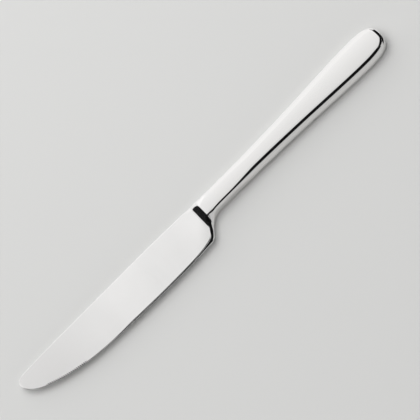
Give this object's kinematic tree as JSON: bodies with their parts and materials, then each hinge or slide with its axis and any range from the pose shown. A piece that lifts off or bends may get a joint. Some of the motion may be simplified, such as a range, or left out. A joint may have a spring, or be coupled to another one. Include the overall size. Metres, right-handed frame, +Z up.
{
  "type": "table knife",
  "caption": "Table knife with a rounded blade, sloped bolster and a hollow, square-sided handle that widens to a rounded butt, in polished steel.",
  "frame": {"origin": "middle of the bounding box, on the surface that the knife lies on", "axes": "+X along the knife to the blade's tip, +Y across it to the cutting edge, +Z up from the side that it lies on"},
  "size_m": [0.23, 0.0224, 0.0075],
  "materials": {
    "blade_steel": "mirror-polished stainless steel",
    "handle_steel": "mirror-polished stainless steel",
    "braze": "brazing alloy, as cast",
    "cement": "set filling cement"
  },
  "bodies": {
    "root": {"blade": "blade_steel", "handle_shell_front": "handle_steel", "handle_shell_back": "handle_steel", "seam_braze": "braze", "neck_braze": "braze", "handle_cement": "cement"}
  },
  "joints": []
}
